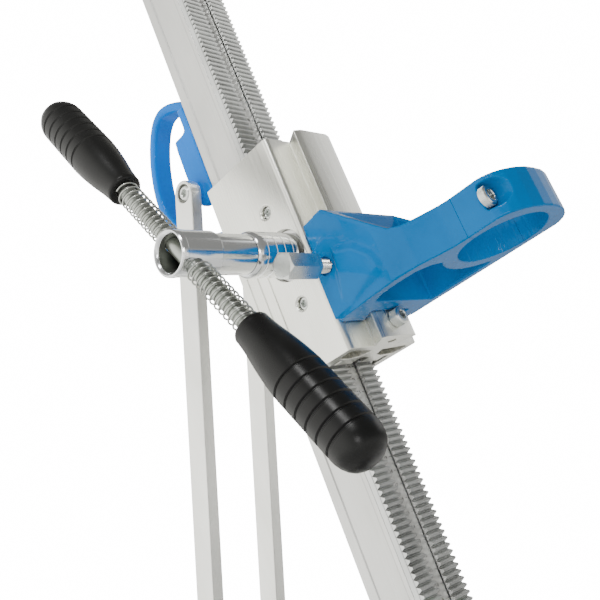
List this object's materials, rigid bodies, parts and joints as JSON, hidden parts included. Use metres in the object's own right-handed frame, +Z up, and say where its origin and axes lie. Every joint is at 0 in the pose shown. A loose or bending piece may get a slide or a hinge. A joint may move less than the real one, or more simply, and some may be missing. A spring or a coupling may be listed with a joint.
{
  "type": "core drill rig",
  "caption": "Braced core drill stand: toothed mast on a wheeled base, hand crank carriage, clamping collar for a drill motor and a rear carry handle.",
  "frame": {"origin": "underside of the base plate, midway between the two racks, level with the tips of their teeth", "axes": "+Z up the mast, -Y to the front where the drill motor hangs, the hand crank on -X"},
  "size_m": [0.28, 0.5614, 0.9283],
  "materials": {
    "cast_alloy": "cast, lightly blasted",
    "satin_aluminium": "satin anodised extrusion",
    "zinc_steel": "bright zinc plated",
    "tool_steel": "machined",
    "chrome": "mirror polished",
    "black_plastic": "moulded, semi gloss",
    "nylon": "moulded nylon",
    "rubber": "matt rubber",
    "blue_paint": "gloss powder coat over a casting",
    "handle_blue": "gloss powder coat",
    "brass": "plain",
    "scale_plate": "printed scale plate",
    "vial": "clear acrylic with green fluid"
  },
  "bodies": {
    "base": {"base_plate": "cast_alloy", "foot_bracket": "cast_alloy", "tilt_pivot_bolt": "zinc_steel", "tilt_pivot_nut": "zinc_steel", "strut_anchor": "cast_alloy", "strut_anchor_bolt": "zinc_steel", "strut_anchor_nut": "zinc_steel", "axle": "zinc_steel", "level_housing": "black_plastic", "level_vial": "vial", "axle_block_left": "cast_alloy", "axle_block_right": "cast_alloy"},
    "wheel_left": {"wheel_rim_left": "nylon", "tyre_left": "rubber"},
    "wheel_right": {"wheel_rim_right": "nylon", "tyre_right": "rubber"},
    "leveller_1": {"levelling_screw_1": "zinc_steel"},
    "leveller_2": {"levelling_screw_2": "zinc_steel"},
    "leveller_3": {"levelling_screw_3": "zinc_steel"},
    "leveller_4": {"levelling_screw_4": "zinc_steel"},
    "mast": {"mast_profile": "satin_aluminium", "scale_strip": "scale_plate", "mast_shoe": "cast_alloy", "mast_top_cap": "black_plastic", "rack_left": "tool_steel", "rack_right": "tool_steel"},
    "brace": {"brace_bracket": "handle_blue", "brace_clamp_screw": "zinc_steel", "brace_t_nut": "zinc_steel", "strut_screw_left": "zinc_steel", "strut_screw_right": "zinc_steel"},
    "struts": {"strut_left": "satin_aluminium", "strut_right": "satin_aluminium"},
    "carriage": {"carriage_body": "satin_aluminium", "stop_screw": "zinc_steel", "gib_left": "nylon", "gib_right": "nylon", "gib_screw_left_lower": "zinc_steel", "gib_screw_left_upper": "zinc_steel", "gib_screw_right_lower": "zinc_steel", "gib_screw_right_upper": "zinc_steel", "bearing_left": "tool_steel", "bearing_right": "tool_steel"},
    "lock": {"lock_screw": "zinc_steel", "lock_knob": "black_plastic"},
    "crank": {"pinion_shaft": "tool_steel", "retaining_ring": "tool_steel", "crank_hub": "chrome", "hub_collar": "chrome"},
    "handle_bar": {"cross_bar": "tool_steel", "grip_upper": "black_plastic", "grip_lower": "black_plastic", "spring_upper": "tool_steel", "spring_lower": "tool_steel"},
    "collar": {"motor_collar": "blue_paint", "collar_cap": "blue_paint", "cap_screw_left": "zinc_steel", "cap_screw_right": "zinc_steel"},
    "clamp": {"clamp_bolt": "zinc_steel", "pressure_pad": "brass"}
  },
  "joints": [
    {"name": "level_1", "type": "slide", "parent": "base", "child": "leveller_1", "axis": [0, 0, 1], "range_m": [-0.012, 0.006]},
    {"name": "level_2", "type": "slide", "parent": "base", "child": "leveller_2", "axis": [0, 0, 1], "range_m": [-0.012, 0.006]},
    {"name": "level_3", "type": "slide", "parent": "base", "child": "leveller_3", "axis": [0, 0, 1], "range_m": [-0.012, 0.006]},
    {"name": "level_4", "type": "slide", "parent": "base", "child": "leveller_4", "axis": [0, 0, 1], "range_m": [-0.012, 0.006]},
    {"name": "wheel_left_spin", "type": "hinge", "parent": "base", "child": "wheel_left", "pos_m": [-0.112, 0.335, 0.043], "axis": [1, 0, 0], "continuous": true},
    {"name": "wheel_right_spin", "type": "hinge", "parent": "base", "child": "wheel_right", "pos_m": [0.112, 0.335, 0.043], "axis": [1, 0, 0], "continuous": true},
    {"name": "mast_tilt", "type": "hinge", "parent": "base", "child": "mast", "pos_m": [0, 0.022, 0.045], "axis": [-1, 0, 0], "range_deg": [0, 30]},
    {"name": "brace_slide", "type": "slide", "parent": "mast", "child": "brace", "axis": [0, 0, 1], "range_m": [0, 0.143]},
    {"name": "strut_swing", "type": "hinge", "parent": "brace", "child": "struts", "pos_m": [0, 0.065, 0.5154], "axis": [-1, 0, 0], "range_deg": [0, 3]},
    {"name": "carriage_feed", "type": "slide", "parent": "mast", "child": "carriage", "axis": [0, 0, 1], "range_m": [-0.22, 0.4]},
    {"name": "crank_turn", "type": "hinge", "parent": "carriage", "child": "crank", "pos_m": [0, -0.00975, 0.4149], "axis": [-1, 0, 0], "range_deg": [-1150, 2060]},
    {"name": "bar_slide", "type": "slide", "parent": "crank", "child": "handle_bar", "axis": [0, 0.4384, 0.8988], "range_m": [-0.02, 0.02], "stiffness_N_per_m": 3000, "springref_m": 0.0016, "deforming": ["spring_upper", "spring_lower"]},
    {"name": "carriage_lock", "type": "hinge", "parent": "carriage", "child": "lock", "pos_m": [0.045, 0.012, 0.366], "axis": [1, 0, 0], "range_deg": [-270, 30]},
    {"name": "collar_slide", "type": "slide", "parent": "carriage", "child": "collar", "axis": [0, 0, 1], "range_m": [0, 0.075]},
    {"name": "clamp_screw", "type": "slide", "parent": "collar", "child": "clamp", "axis": [-1, 0, 0], "range_m": [0, 0.012]}
  ],
  "couplings": [
    {"joint": "brace_slide", "follows": "mast_tilt", "m_per_rad": 0.27231},
    {"joint": "strut_swing", "follows": "mast_tilt", "ratio": 0.09605},
    {"joint": "crank_turn", "follows": "carriage_feed", "rad_per_m": 88.889}
  ]
}
